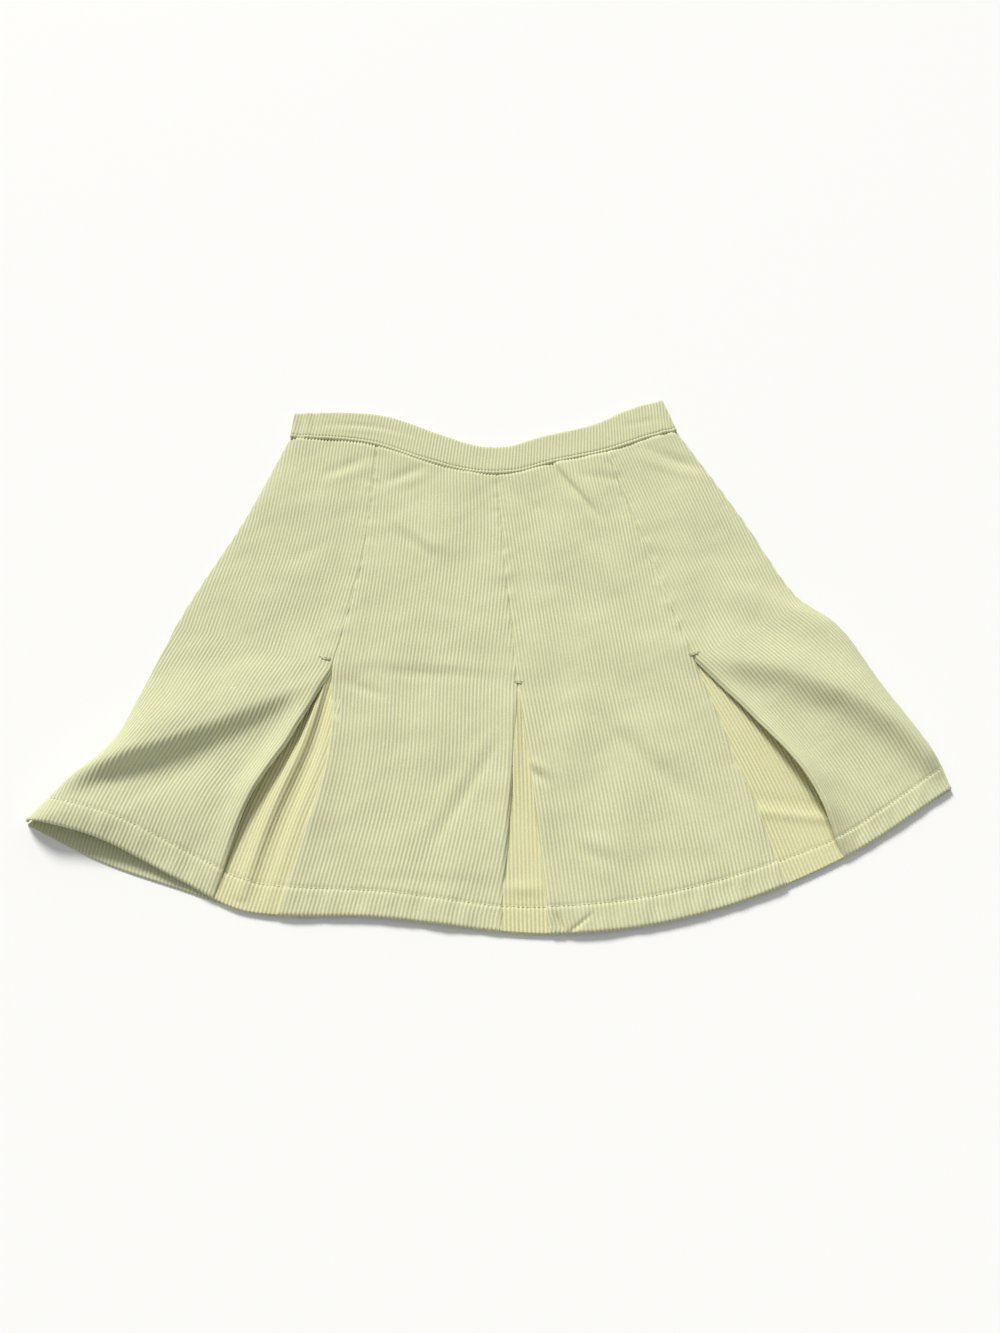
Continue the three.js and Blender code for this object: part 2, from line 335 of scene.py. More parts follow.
@dataclass(frozen=True)
class Patch:
    """The stretch of cloth between two edges.

    Args:
        left: the edge on the left.
        right: the edge on the right.
        spread: how far it runs on past both edges.
        hem: the curve that it ends on.
    """

    left: Edge
    right: Edge
    spread: float = 0.0
    hem: Curve = FRONT_HEM

    def plan(self, u: Array, level: Array) -> tuple[Array, Array]:
        """The plan X and Y at shares across and levels down."""

        def straight(at: Array) -> Array:
            """Points straight across from edge to edge."""
            a = self.left.points(at, -self.spread, self.hem)
            b = self.right.points(at, self.spread, self.hem)
            return a + (b - a) * u[..., None]

        here = straight(level)
        top, bottom = straight(np.zeros_like(level)), straight(np.ones_like(level))
        to_waist = np.clip(1 - level / TIP_LEVEL, 0, 1) ** 2
        to_hem = np.clip((level - TIP_LEVEL) / (1 - TIP_LEVEL), 0, 1) ** 2
        y = here[..., 1] + to_waist * (WAIST(top[..., 0]) - top[..., 1])
        y = y + to_hem * (self.hem(bottom[..., 0]) - bottom[..., 1])
        return here[..., 0], y

    def width(self, level: Array) -> Array:
        """How far the edges are apart at levels."""
        return np.linalg.norm(self.right.points(level) - self.left.points(level), axis=-1)


class Side(Enum):
    """Which way a panel's good side looks."""

    UP = 1
    DOWN = -1


def to_linear(hex_colour: str) -> tuple[float, float, float, float]:
    """The linear colour of an sRGB hex value."""
    parts = [int(hex_colour[i : i + 2], 16) / 255 for i in (1, 3, 5)]
    linear = [p / 12.92 if p <= 0.04045 else ((p + 0.055) / 1.055) ** 2.4 for p in parts]
    return (linear[0], linear[1], linear[2], 1.0)


def new_material(name: str) -> tuple[bpy.types.Material, Any, Any]:
    """A new material, with its node tree and its main shader."""
    material = bpy.data.materials.new(name)
    material.use_nodes = True
    tree = material.node_tree
    return material, tree, tree.nodes["Principled BSDF"]


def add_node(tree: Any, kind: str, links: Optional[dict[Any, Any]] = None, **settings: Any) -> Any:
    """Adds a shader node.

    Args:
        tree: the material's node tree.
        kind: the node's type name.
        links: for each input's name or number, a socket to link or a value to set.
        settings: the node's own settings.

    Returns:
        The new node.
    """
    node = tree.nodes.new(kind)
    for name, value in settings.items():
        setattr(node, name, value)
    for key, value in (links or {}).items():
        if isinstance(value, bpy.types.NodeSocket):
            tree.links.new(value, node.inputs[key])
        else:
            node.inputs[key].default_value = value
    return node


@dataclass(frozen=True)
class Corduroy:
    """Cotton corduroy, woven with rows of cut pile.

    The pile's tips take a lighter colour and the weave between the wales a darker one: painted light on
    the tips and painted shade between the wales, over the wales' own relief. The cloth looks matt, soft
    and finely lined.

    Args:
        name: the material's name.
        crest: the colour of the pile's tips, painted lighter.
        valley_painted_shade: the darker colour between the wales, painted shade.
        worn: the colour that handling leaves in soft patches.
        roughness: of the pile.
        nap_grain_mm: the size of the tufts of fibres.
        patch_mm: the size of the worn patches.
        wear_range: the noise at which wear starts and is full.
        wear_most: how much of the worn colour a full patch takes.
        fibre_shades: how dark and how light single tufts are.
    """

    name: str
    crest: str
    valley_painted_shade: str
    worn: str
    roughness: float = 0.92
    nap_grain_mm: float = 0.5  # fibres of the pile are finer than this, which is the least that shows
    patch_mm: float = 45.0
    wear_range: tuple[float, float] = (0.42, 0.72)
    wear_most: float = 0.55
    fibre_shades: tuple[float, float] = (0.9, 1.06)

    def make(self) -> bpy.types.Material:
        """Builds the material."""
        material, tree, shader = new_material(self.name)
        place = add_node(tree, "ShaderNodeTexCoord").outputs["Object"]
        wale = add_node(tree, "ShaderNodeAttribute", attribute_name="wale").outputs["Fac"]
        nap = add_node(
            tree,
            "ShaderNodeTexNoise",
            {"Vector": place, "Scale": 1 / (self.nap_grain_mm * 2 * MM), "Detail": 3.0},
        ).outputs["Fac"]
        patches = add_node(
            tree,
            "ShaderNodeTexNoise",
            {"Vector": place, "Scale": 1 / (self.patch_mm * MM), "Detail": 4.0, "Roughness": 0.6},
        ).outputs["Fac"]
        # Painted light and shade: the wale attribute mixes the darker colour between the wales with the
        # lighter colour of the pile's tips.
        ribbed = add_node(
            tree,
            "ShaderNodeMix",
            {0: wale, 6: to_linear(self.valley_painted_shade), 7: to_linear(self.crest)},
            data_type="RGBA",
        ).outputs[2]
        least, most = self.wear_range
        wear = add_node(
            tree, "ShaderNodeMapRange", {"Value": patches, 1: least, 2: most, 3: 0.0, 4: self.wear_most}
        ).outputs[0]
        worn = add_node(
            tree,
            "ShaderNodeMix",
            {0: wear, 6: ribbed, 7: to_linear(self.worn)},
            data_type="RGBA",
        ).outputs[2]
        dark, light = self.fibre_shades
        fibre = add_node(
            tree, "ShaderNodeMapRange", {"Value": nap, 1: 0.3, 2: 0.7, 3: dark, 4: light}
        ).outputs[0]
        flecked = add_node(
            tree,
            "ShaderNodeVectorMath",
            {0: worn, 3: fibre},
            operation="SCALE",
        ).outputs[0]
        bump = add_node(
            tree, "ShaderNodeBump", {"Height": nap, "Strength": 0.35, "Distance": 0.25 * MM}
        ).outputs[0]
        tree.links.new(flecked, shader.inputs["Base Color"])
        tree.links.new(bump, shader.inputs["Normal"])
        shader.inputs["Roughness"].default_value = self.roughness
        shader.inputs["IOR"].default_value = 1.45
        shader.inputs["Specular IOR Level"].default_value = 0.2
        shader.inputs["Sheen Weight"].default_value = 0.25
        shader.inputs["Sheen Roughness"].default_value = 0.45
        shader.inputs["Sheen Tint"].default_value = to_linear(self.crest)
        return material


DIAGONAL_REPEAT = 0.628  # metres, along an axis, in which a diagonal wave of scale 1 repeats


@dataclass(frozen=True)
class WovenBack:
    """The plain twill side of corduroy: flat, dry threads with no pile, so it has no sheen."""

    name: str
    thread: str
    # painted shade: the darker colour in the twill's grooves
    gap: str
    twill_mm: float = 2.8  # the real twill lines are about 1 mm apart, too fine to show

    def make(self) -> bpy.types.Material:
        """Builds the material."""
        material, tree, shader = new_material(self.name)
        place = add_node(tree, "ShaderNodeTexCoord").outputs["Object"]
        twill = add_node(
            tree,
            "ShaderNodeTexWave",
            {"Vector": place, "Scale": DIAGONAL_REPEAT / (self.twill_mm * MM), "Distortion": 1.0},
            bands_direction="DIAGONAL",
        ).outputs["Fac"]
        # Painted shade: the twill's wave darkens the colour in its grooves, where the bump sinks.
        colour = add_node(
            tree,
            "ShaderNodeMix",
            {0: twill, 6: to_linear(self.gap), 7: to_linear(self.thread)},
            data_type="RGBA",
        ).outputs[2]
        bump = add_node(
            tree, "ShaderNodeBump", {"Height": twill, "Strength": 0.3, "Distance": 0.2 * MM}
        ).outputs[0]
        tree.links.new(colour, shader.inputs["Base Color"])
        tree.links.new(bump, shader.inputs["Normal"])
        shader.inputs["Roughness"].default_value = 0.95
        return material


@dataclass(frozen=True)
class SewingThread:
    """Spun polyester thread: plies twisted together, with a slight gloss on each turn."""

    name: str
    colour: str
    shadow: str
    twist_mm: float = 3.6  # the plies really turn within a millimetre, too fine to show

    def make(self) -> bpy.types.Material:
        """Builds the material."""
        material, tree, shader = new_material(self.name)
        place = add_node(tree, "ShaderNodeTexCoord").outputs["Object"]
        plies = add_node(
            tree,
            "ShaderNodeTexWave",
            {"Vector": place, "Scale": DIAGONAL_REPEAT / (self.twist_mm * MM)},
            bands_direction="DIAGONAL",
        ).outputs["Fac"]
        colour = add_node(
            tree,
            "ShaderNodeMix",
            {0: plies, 6: to_linear(self.shadow), 7: to_linear(self.colour)},
            data_type="RGBA",
        ).outputs[2]
        tree.links.new(colour, shader.inputs["Base Color"])
        shader.inputs["Roughness"].default_value = 0.6
        return material


# In each corduroy the second colour, between the wales, is painted shade, and the first, on the pile's
# tips, is painted lighter.
FACE = Corduroy("lemon_corduroy_face", "#E4E7C4", "#BDBD8E", "#D6D8AE")
# The same cloth as the face, painted lighter and yellower inside the pleats: painted light over the
# shade there, with the yellow of light thrown between the folds.
FACE_INSIDE_PLEAT_PAINTED_LIGHT = Corduroy("corduroy_inside_pleats_painted_lighter", "#EBEAC2", "#C6C28A", "#E0DEB0")
WRONG_SIDE = WovenBack("plain_twill_back_of_corduroy", "#D8D8A4", "#B9B886")
THREAD = SewingThread("spun_polyester_thread", "#E6E7C4", "#BDBD90")


@dataclass
class ClothShell:
    """A closed thin shell of corduroy whose mesh columns follow the wales.

    Args:
        name: the piece's name.
        surface: gives the middle surface's X, Y and Z at shares across and levels down.
        levels: the levels of the mesh's rows.
        thickness: of the cloth.
        grain_at: share across of the line that the wales run along.
        side: which way the good side looks.
        turned_up_from: the level from which the wrong side shows turned-up good side.
        columns_per_wale: how many mesh columns a wale has.
        seed: of the pile's unevenness.
        rim_shade: how deep the rims' colour is where they meet the wrong side.
    """

    name: str
    surface: Surface
    levels: Array
    thickness: float = CLOTH
    grain_at: float = 0.5
    side: Side = Side.UP
    turned_up_from: float = 2.0
    columns_per_wale: int = COLUMNS_PER_WALE
    seed: int = 1
    rim_shade: float = 0.6

    def _columns(self) -> tuple[Array, Array]:
        """Shares across for each row and column, and each vertex's place in wales."""
        dense = np.linspace(0, 1, GRAIN_STEPS)
        u, level = np.meshgrid(dense, self.levels)
        points = self.surface(u, level)
        steps = np.linalg.norm(np.diff(points, axis=1), axis=-1)
        run = np.concatenate([np.zeros((len(self.levels), 1)), np.cumsum(steps, axis=1)], 1)
        start = np.array([np.interp(self.grain_at, dense, row) for row in run])
        wales = (run - start[:, None]) / WALE_PITCH
        first = math.floor(wales[:, 0].min() * self.columns_per_wale)
        last = math.ceil(wales[:, -1].max() * self.columns_per_wale)
        marks = np.arange(first, last + 1) / self.columns_per_wale
        shares = np.stack([np.interp(marks, row, dense) for row in wales])
        places = np.stack([np.clip(marks, row[0], row[-1]) for row in wales])
        return shares, places

    def _normals(self, u: Array, level: Array) -> Array:
        """The surface's unit normals, pointing up."""
        step = 1e-3
        right, left = np.minimum(u + step, 1), np.maximum(u - step, 0)
        low, high = np.minimum(level + step, 1), np.maximum(level - step, 0)
        across = self.surface(right, level) - self.surface(left, level)
        down = self.surface(u, low) - self.surface(u, high)
        normal = np.cross(down, across)
        return normal / np.linalg.norm(normal, axis=-1, keepdims=True)

    def build(self, face: bpy.types.Material, back: bpy.types.Material) -> bpy.types.Object:
        """Makes the shell.

        Args:
            face: the material of the good side and the rims.
            back: the material of the wrong side.

        Returns:
            The new object.
        """
        u, places = self._columns()
        rows, columns = u.shape
        level = np.repeat(self.levels[:, None], columns, axis=1)
        middle = self.surface(u, level)
        normal = self._normals(u, level) * self.side.value
        rng = np.random.default_rng(self.seed)
        wobble = rng.normal(0, 1, (rows, columns))
        pile = 0.5 + 0.5 * np.cos(2 * math.pi * places)
        tufts = TUFTS * wobble * pile
        ribbed = self.thickness / 2 - WALE_DEPTH * (1 - pile)
        outer = middle + normal * (ribbed + tufts)[..., None]
        turned = level >= self.turned_up_from
        inner_drop = np.where(turned, ribbed, self.thickness / 2)
        inner = middle - normal * inner_drop[..., None]
        kept = np.stack([np.clip(np.arange(columns), *self._kept(row)) for row in u])
        index = kept + np.arange(rows)[:, None] * columns
        faces, slots = self._faces(index, rows, columns, turned)
        points = np.concatenate([outer.reshape(-1, 3), inner.reshape(-1, 3)])
        points = to_frame(points)
        # The wale attribute, 1 on the pile's tips and 0 between the wales, sets where the corduroy's
        # colour is painted light and painted shade.
        shade = np.concatenate([pile.ravel(), np.where(turned, pile, self.rim_shade).ravel()])
        return self._object(points, faces, slots, shade, (face, back))

    @staticmethod
    def _kept(row: Array) -> tuple[int, int]:
        """The first and the last column of a row that don't repeat an end."""
        left = int(np.searchsorted(row, 0.0, side="right")) - 1
        right = int(np.searchsorted(row, 1.0, side="left"))
        return max(left, 0), min(right, len(row) - 1)

    def _faces(
        self, index: Array, rows: int, columns: int, turned: Array
    ) -> tuple[list[list[int]], list[int]]:
        """The shell's faces and each one's material number."""
        under = index + rows * columns
        quads: list[tuple[Array, Array]] = []
        a, b, c, d = index[:-1, :-1], index[1:, :-1], index[1:, 1:], index[:-1, 1:]
        quads.append((np.stack([a, b, c, d], -1).reshape(-1, 4), np.zeros(a.size, int)))
        a, b, c, d = under[:-1, :-1], under[:-1, 1:], under[1:, 1:], under[1:, :-1]
        wrong = np.where(turned[:-1, :-1], 0, 1).ravel()
        quads.append((np.stack([a, b, c, d], -1).reshape(-1, 4), wrong))
        for top, low in ((index[:, 0], under[:, 0]), (index[::-1, -1], under[::-1, -1])):
            rim = np.stack([top[:-1], low[:-1], low[1:], top[1:]], -1)
            quads.append((rim, np.zeros(len(rim), int)))
        for top, low in ((index[0, ::-1], under[0, ::-1]), (index[-1], under[-1])):
            rim = np.stack([top[:-1], low[:-1], low[1:], top[1:]], -1)
            quads.append((rim, np.zeros(len(rim), int)))
        faces: list[list[int]] = []
        slots: list[int] = []
        for block, numbers in quads:
            if self.side is Side.DOWN:
                block = block[:, ::-1]
            for corners, number in zip(block.tolist(), numbers.tolist()):
                ring = list(dict.fromkeys(corners))
                if len(ring) > 2:
                    faces.append(ring)
                    slots.append(number)
        return faces, slots

    def _object(
        self,
        points: Array,
        faces: list[list[int]],
        slots: list[int],
        shade: Array,
        materials: Sequence[bpy.types.Material],
    ) -> bpy.types.Object:
        """Makes the object, without the vertices that no face uses."""
        used = np.unique(np.concatenate([np.array(f) for f in faces]))
        renumber = np.full(len(points), -1)
        renumber[used] = np.arange(len(used))
        mesh = bpy.data.meshes.new(self.name)
        mesh.from_pydata(points[used].tolist(), [], [renumber[f].tolist() for f in faces])
        mesh.polygons.foreach_set("material_index", slots)
        mesh.polygons.foreach_set("use_smooth", [True] * len(faces))
        wale = mesh.attributes.new("wale", "FLOAT", "POINT")
        wale.data.foreach_set("value", shade[used].astype(np.float32))
        for material in materials:
            mesh.materials.append(material)
        mesh.update()
        piece = bpy.data.objects.new(self.name, mesh)
        bpy.context.scene.collection.objects.link(piece)
        return piece


@dataclass(kw_only=True)
class ClothPiece:
    """A piece of the skirt, cut from one sheet of cloth.

    Args:
        node: its solid's name.
        cut: the width and length of the cloth that it is cut from, in metres; not used.
        area: the cut's area in square metres; not used.
        slot: the slot of its finish; not used.
        held: how the cloth lies; not used.
        rests_on: the piece that it lies on; not used.
        grain_at: share across of the line that its wales run along.
        seed: of the pile's unevenness.
    """

    node: str
    cut: tuple[float, float]
    area: float
    slot: str = "corduroy"
    held: str = "laid"
    rests_on: str = "back_panel_cloth"
    grain_at: float = 0.5
    seed: int = 1

    def surface(self, u: Array, level: Array) -> Array:
        """The middle surface's X, Y and Z at shares across and levels down."""
        raise NotImplementedError

    def shell(self) -> ClothShell:
        """The cloth on that surface."""
        raise NotImplementedError

    def build(self, face: bpy.types.Material, back: bpy.types.Material) -> bpy.types.Object:
        """Builds the piece, puts it under the root body and hides its solid.

        Args:
            face: the material of the good side.
            back: the material of the wrong side.

        Returns:
            The new object.
        """
        piece = self.shell().build(face, back)
        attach(piece, "root")
        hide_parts(self.node)
        return piece


HEM_ROWS = 20
HEM_ROWS_ABOVE = 5.0  # how far above the hem's stitch line its close rows start


def row_levels(top: float, spacing: float) -> Array:
    """Levels of a panel's rows, closer together over the hem.

    Args:
        top: the level of the first row.
        spacing: how far apart the rows are above the hem.

    Returns:
        The levels, rising.
    """
    hem_from = 1 - (HEM_DEPTH + HEM_ROWS_ABOVE) / PANEL_LENGTH
    count = round((hem_from - top) * PANEL_LENGTH / spacing)
    plain = np.linspace(top, hem_from, count)
    return np.concatenate([plain, np.linspace(hem_from, 1, HEM_ROWS)[1:]])


# The rings of a stitch: share along it, size and height above the path, both in thread radii.
STITCH_RINGS = (
    (0.0, 0.45, -0.8),
    (0.2, 1.0, 0.1),
    (0.5, 1.0, 0.35),
    (0.8, 1.0, 0.1),
    (1.0, 0.45, -0.8),
)
STITCH_SIDES = 6
FIRST_STITCH_AT = 0.5
THREAD_SINK = 0.1  # how far the hem's stitches are pulled into the cloth


@dataclass
class Stitches:
    """Rows of machine stitches, each one a short bead of thread.

    Args:
        name: the piece's name.
        length: of a stitch.
        gap: from the end of a stitch to the next.
        radius: of the thread.
        points: the vertices so far.
        faces: the faces so far.
    """

    name: str
    length: float = 3.0
    gap: float = 0.9
    radius: float = 0.28
    points: list[Array] = field(default_factory=list)
    faces: list[list[int]] = field(default_factory=list)

    def bead(self, start: Array, end: Array, up: Array, radius: Optional[float] = None) -> None:
        """Adds one stitch, with its ends sunk into the cloth.

        Args:
            start: where it starts.
            end: where it ends.
            up: the cloth's normal.
            radius: of its thread, the rows' own unless given.
        """
        radius = radius or self.radius
        along = end - start
        along = along / np.linalg.norm(along)
        side = np.cross(along, up)
        side = side / np.linalg.norm(side)
        up = np.cross(side, along)
        sides = STITCH_SIDES
        base = len(self.points)
        for share, size, rise in STITCH_RINGS:
            centre = start + (end - start) * share + up * rise * radius
            for k in range(sides):
                angle = 2 * math.pi * k / sides
                outward = side * math.cos(angle) + up * math.sin(angle)
                self.points.append(centre + radius * size * outward)
        last = len(self.points) - sides
        for ring in range(base, last, sides):
            for k in range(sides):
                a, b = ring + k, ring + (k + 1) % sides
                self.faces.append([a, b, b + sides, a + sides])
        self.faces.append([base + k for k in range(sides)][::-1])
        self.faces.append([last + k for k in range(sides)])

    def line(self, path: Array, ups: Array) -> None:
        """Adds stitches along a path.

        Args:
            path: its points.
            ups: the cloth's normal at each point.
        """
        run = np.concatenate([[0.0], np.cumsum(np.linalg.norm(np.diff(path, axis=0), axis=1))])
        step = self.length + self.gap
        for at in np.arange(FIRST_STITCH_AT, run[-1] - self.length, step):
            start = np.array([np.interp(at, run, path[:, k]) for k in range(3)])
            end = np.array([np.interp(at + self.length, run, path[:, k]) for k in range(3)])
            up = np.array([np.interp(at, run, ups[:, k]) for k in range(3)])
            self.bead(start, end, up)

    def build(self, thread: bpy.types.Material) -> bpy.types.Object:
        """Makes the object."""
        points = to_frame(np.array(self.points))
        mesh = bpy.data.meshes.new(self.name)
        mesh.from_pydata(points.tolist(), [], self.faces)
        mesh.polygons.foreach_set("use_smooth", [True] * len(self.faces))
        mesh.materials.append(thread)
        mesh.update()
        piece = bpy.data.objects.new(self.name, mesh)
        bpy.context.scene.collection.objects.link(piece)
        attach(piece, "root")
        return piece


def stitch_hem(stitches: Stitches, surface: Surface, margin: float, count: int) -> None:
    """Adds a panel's stretch of the hem's stitch line.

    Args:
        stitches: the row that takes it.
        surface: the panel's middle surface.
        margin: share across that is left free at both edges.
        count: how many points the line is drawn through.
    """
    u = np.linspace(margin, 1 - margin, count)
    level = np.full_like(u, 1 - HEM_DEPTH / PANEL_LENGTH)
    path = surface(u, level) + np.array([0, 0, CLOTH / 2 - THREAD_SINK])
    stitches.line(path, np.tile(UP, (count, 1)))


def front_folds(x: Array, y: Array) -> Array:
    """How high the folds and creases lift the front at plan points."""
    height = np.zeros_like(x)
    for fold in FOLDS:
        height = height + fold.lift(x, y)
    off_x = (x - HEM_LIFT_AT[0]) / HEM_LIFT_REACH[0]
    off_y = (y - HEM_LIFT_AT[1]) / HEM_LIFT_REACH[1]
    height = height + HEM_LIFT * bell(off_x) * bell(off_y)
    for crease in CREASES:
        height = height + crease.lift(x, y)
    return height + handling(x, y)


def handling(x: Array, y: Array) -> Array:
    """The shallow, uneven waves that wear and folding leave all over the cloth."""
    height = np.zeros_like(x)
    for size, rise, turn in HANDLING:
        across = x * math.cos(turn) + y * math.sin(turn)
        along = y * math.cos(turn) - x * math.sin(turn)
        bend = MEANDER * np.sin(along / size * MEANDERS_ALONG + turn)
        crosswise = rise * np.sin(across / size * WAVES_ACROSS + bend)
        height = height + crosswise * np.sin(along / size * WAVES_ALONG + 2 * turn)
    return height


@dataclass(kw_only=True)
class Gore(ClothPiece):
    """One gore of the front.

    Args:
        patch: the cloth between its edges.
        lift_left: how high its left lip stands half way down.
        lift_right: the same for its right lip.
        lip_reach: how far in from a lip the cloth is raised.
        low_lip: above 1, a left lip stands highest below its middle.
        side_round: the least width of the rounded edge at a side seam.
        seam_roll: the width and depth of the rolled edge at a seam.
        lip_roll: the same at a pleat's lip.
        seam_pucker: the height of the puckers beside a seam.
        hem_step: how much higher the double cloth of the hem stands.
        hem_line: how deep the hem's stitches pull the cloth in.
        hem_pucker: the height of the hem's puckers.
        hem_roll: the width and depth of the hem's rounded fold.
    """

    patch: Patch
    lift_left: float = 0.0
    lift_right: float = 0.0
    lip_reach: float = 13.0
    low_lip: float = 1.35
    side_round: float = 12.0
    seam_roll: tuple[float, float] = (2.2, 0.75)
    lip_roll: tuple[float, float] = (3.0, 1.6)
    seam_pucker: float = 0.4
    hem_step: float = 0.45
    hem_line: float = 0.55
    hem_pucker: float = 0.5
    hem_roll: tuple[float, float] = (1.6, 0.9)

    def surface(self, u: Array, level: Array) -> Array:
        """The gore's middle surface."""
        x, y = self.patch.plan(u, level)
        width = self.patch.width(level)
        below = np.clip((level - TIP_LEVEL) / (1 - TIP_LEVEL), 0, 1)
        from_left, from_right = u * width, (1 - u) * width
        opened_low = np.sin(math.pi * below**self.low_lip)
        lips = self.lift_left * opened_low * bell(from_left / self.lip_reach)
        lips = lips + self.lift_right * np.sin(math.pi * below) * bell(from_right / self.lip_reach)
        flat = FRONT_Z + front_folds(x, y) + lips
        flat = flat + self._seam_relief(from_left, level, self.patch.left, phase=0.0)
        flat = flat + self._seam_relief(from_right, level, self.patch.right, phase=1.7)
        flat = flat + self._hem_relief(x, level)
        z = SIDE_Z + (flat - SIDE_Z) * self._side_rounding(from_left, from_right, flat)
        return np.stack([x, y, z], -1)

    def _side_rounding(self, from_left: Array, from_right: Array, flat: Array) -> Array:
        """The share of its height that the cloth keeps as it turns down to a side seam."""
        if self.patch.left is SIDE_LEFT:
            to_side = from_left
        elif self.patch.right is SIDE_RIGHT:
            to_side = from_right
        else:
            return np.ones_like(flat)
        inward = np.clip(to_side / (self.side_round + np.maximum(flat - FRONT_Z, 0)), 0, 1)
        return np.sqrt(1 - (1 - inward) ** 2)

    def _seam_relief(self, distance: Array, level: Array, edge: Edge, phase: float) -> Array:
        """The rolled edge and the puckers beside a seam or a lip.

        Args:
            distance: how far in from the edge the points are.
            level: the points' levels.
            edge: the edge, which is left plain if it is a side seam.
            phase: where the puckers start.

        Returns:
            The height of the relief.
        """
        if edge is SIDE_LEFT or edge is SIDE_RIGHT:
            return np.zeros_like(distance)
        width, depth = self.seam_roll
        roll = -depth * np.clip(1 - distance / width, 0, 1) ** 2
        along = level * PANEL_LENGTH
        wave = np.sin(along / 2.1 + phase) * np.sin(along / 7.3 + 2 * phase)
        wave = wave + 0.5 * np.sin(along / 3.3)
        puckers = self.seam_pucker * wave * bell((distance - 2) / 5) * (level < TIP_LEVEL)
        width, depth = self.lip_roll
        lip = -depth * np.clip(1 - distance / width, 0, 1) ** 2 * (level > TIP_LEVEL)
        return roll + puckers + lip

    def _hem_relief(self, x: Array, level: Array) -> Array:
        """The double cloth of the hem, its stitched line and its puckers."""
        up_from_hem = (1 - level) * PANEL_LENGTH
        doubled = self.hem_step * ease((HEM_DEPTH - up_from_hem) / 2.0)
        line = -self.hem_line * bell((up_from_hem - HEM_DEPTH) / 1.1)
        wave = np.sin(x / 2.9) * np.sin(x / 11 + 1) + 0.6 * np.sin(x / 5.1 + 2 * np.sin(x / 37))
        within = bell((up_from_hem - HEM_DEPTH * 0.55) / (HEM_DEPTH * 0.5))
        puckers = self.hem_pucker * wave * within
        width, depth = self.hem_roll
        roll = -depth * np.clip(1 - up_from_hem / width, 0, 1) ** 2
        return doubled + line + puckers + roll

    def shell(self) -> ClothShell:
        """The gore's cloth, with rows close enough for its creases."""
        levels = row_levels(top=0.0, spacing=3.8)
        return ClothShell(
            self.node + "_cloth", self.surface, levels, grain_at=self.grain_at, seed=self.seed
        )


@dataclass(kw_only=True)
class Underlay(ClothPiece):
    """The cloth behind a pleat.

    Args:
        patch: the cloth between the pleat's lips and a little beyond.
        relief: gives the height of its own folds at shares across and below the tip, and at plan
            points.
        top: the level of its top edge, above the pleat's tip.
        hem_step: how much higher the double cloth of the hem stands.
        hem_line: how deep the hem's stitches pull the cloth in.
    """

    patch: Patch
    relief: Callable[[Array, Array, Array, Array], Array]
    slot: str = "corduroy_underlay"
    held: str = "folded"
    top: float = 0.49
    hem_step: float = 0.3
    hem_line: float = 0.4

    def surface(self, u: Array, level: Array) -> Array:
        """The underlay's middle surface."""
        x, y = self.patch.plan(u, level)
        below = np.clip((level - TIP_LEVEL) / (1 - TIP_LEVEL), 0, 1)
        up_from_hem = (1 - level) * PANEL_LENGTH
        doubled = self.hem_step * ease((HEM_DEPTH - up_from_hem) / 2.0)
        hem = doubled - self.hem_line * bell((up_from_hem - HEM_DEPTH) / 1.1)
        z = UNDERLAY_Z + self.relief(u, below, x, y) + hem * (below > 0.2)
        return np.stack([x, y, z], -1)

    def shell(self) -> ClothShell:
        """The underlay's cloth."""
        levels = row_levels(self.top, spacing=3.2)
        return ClothShell(
            self.node + "_cloth", self.surface, levels, grain_at=self.grain_at, seed=self.seed
        )


def left_pleat_relief(u: Array, below: Array, x: Array, y: Array) -> Array:
    """The left pleat's inner folds: one stands up from tip to hem, one climbs to the right lip."""
    opened = np.sin(math.pi * np.clip(below * 1.03, 0, 1)) ** 0.5
    crest, before, after = 0.43, 0.09, 0.07
    reach = np.where(u > crest, after, before)
    ridge = 5.2 * opened * bell((u - crest) / reach)
    climb = 3.4 * np.sin(math.pi * np.clip(below, 0, 1)) ** 0.6 * ease((u - 0.6) / 0.14)
    return ridge + climb * ease((1 - u) / 0.14)


def centre_pleat_relief(u: Array, below: Array, x: Array, y: Array) -> Array:
    """The pucker above the centre pleat's hem and the soft bulge near its top."""
    pucker = 1.4 * bell((y + 184) / 4) * bell((u - 0.5) / 0.3)
    bulge = 2.2 * bell((u - 0.40) / 0.12) * bell((below - 0.2) / 0.2)
    return pucker + bulge


def right_pleat_relief(u: Array, below: Array, x: Array, y: Array) -> Array:
    """The crease across the right pleat, a trough with a ridge below it."""
    slope = 0.1 * x
    trough = -0.6 * bell((y + slope + 95) / 5)
    ridge = 1.4 * bell((y + slope + 106) / 3.2)
    side = 0.9 * np.sin(math.pi * below) * bell((u - 0.2) / 0.15)
    return trough + ridge + side


@dataclass(kw_only=True)
class BackPanel(ClothPiece):
    """The skirt's back, one flared panel that lies on the table with its good side down."""

    node: str = "back_panel"
    cut: tuple[float, float] = (0.72, 0.47)
    area: float = 0.245
    rests_on: str = "table"
    patch: Patch = Patch(SIDE_LEFT, SIDE_RIGHT, hem=BACK_HEM)

    def surface(self, u: Array, level: Array) -> Array:
        """The back's middle surface."""
        x, y = self.patch.plan(u, level)
        return np.stack([x, y, np.full_like(x, BACK_Z)], -1)

    def shell(self) -> ClothShell:
        """The back's cloth, with wide rows because it lies flat."""
        return ClothShell(
            self.node + "_cloth",
            self.surface,
            row_levels(top=0.0, spacing=11.0),
            side=Side.DOWN,
            turned_up_from=1 - HEM_DEPTH / PANEL_LENGTH,
            columns_per_wale=3,
        )


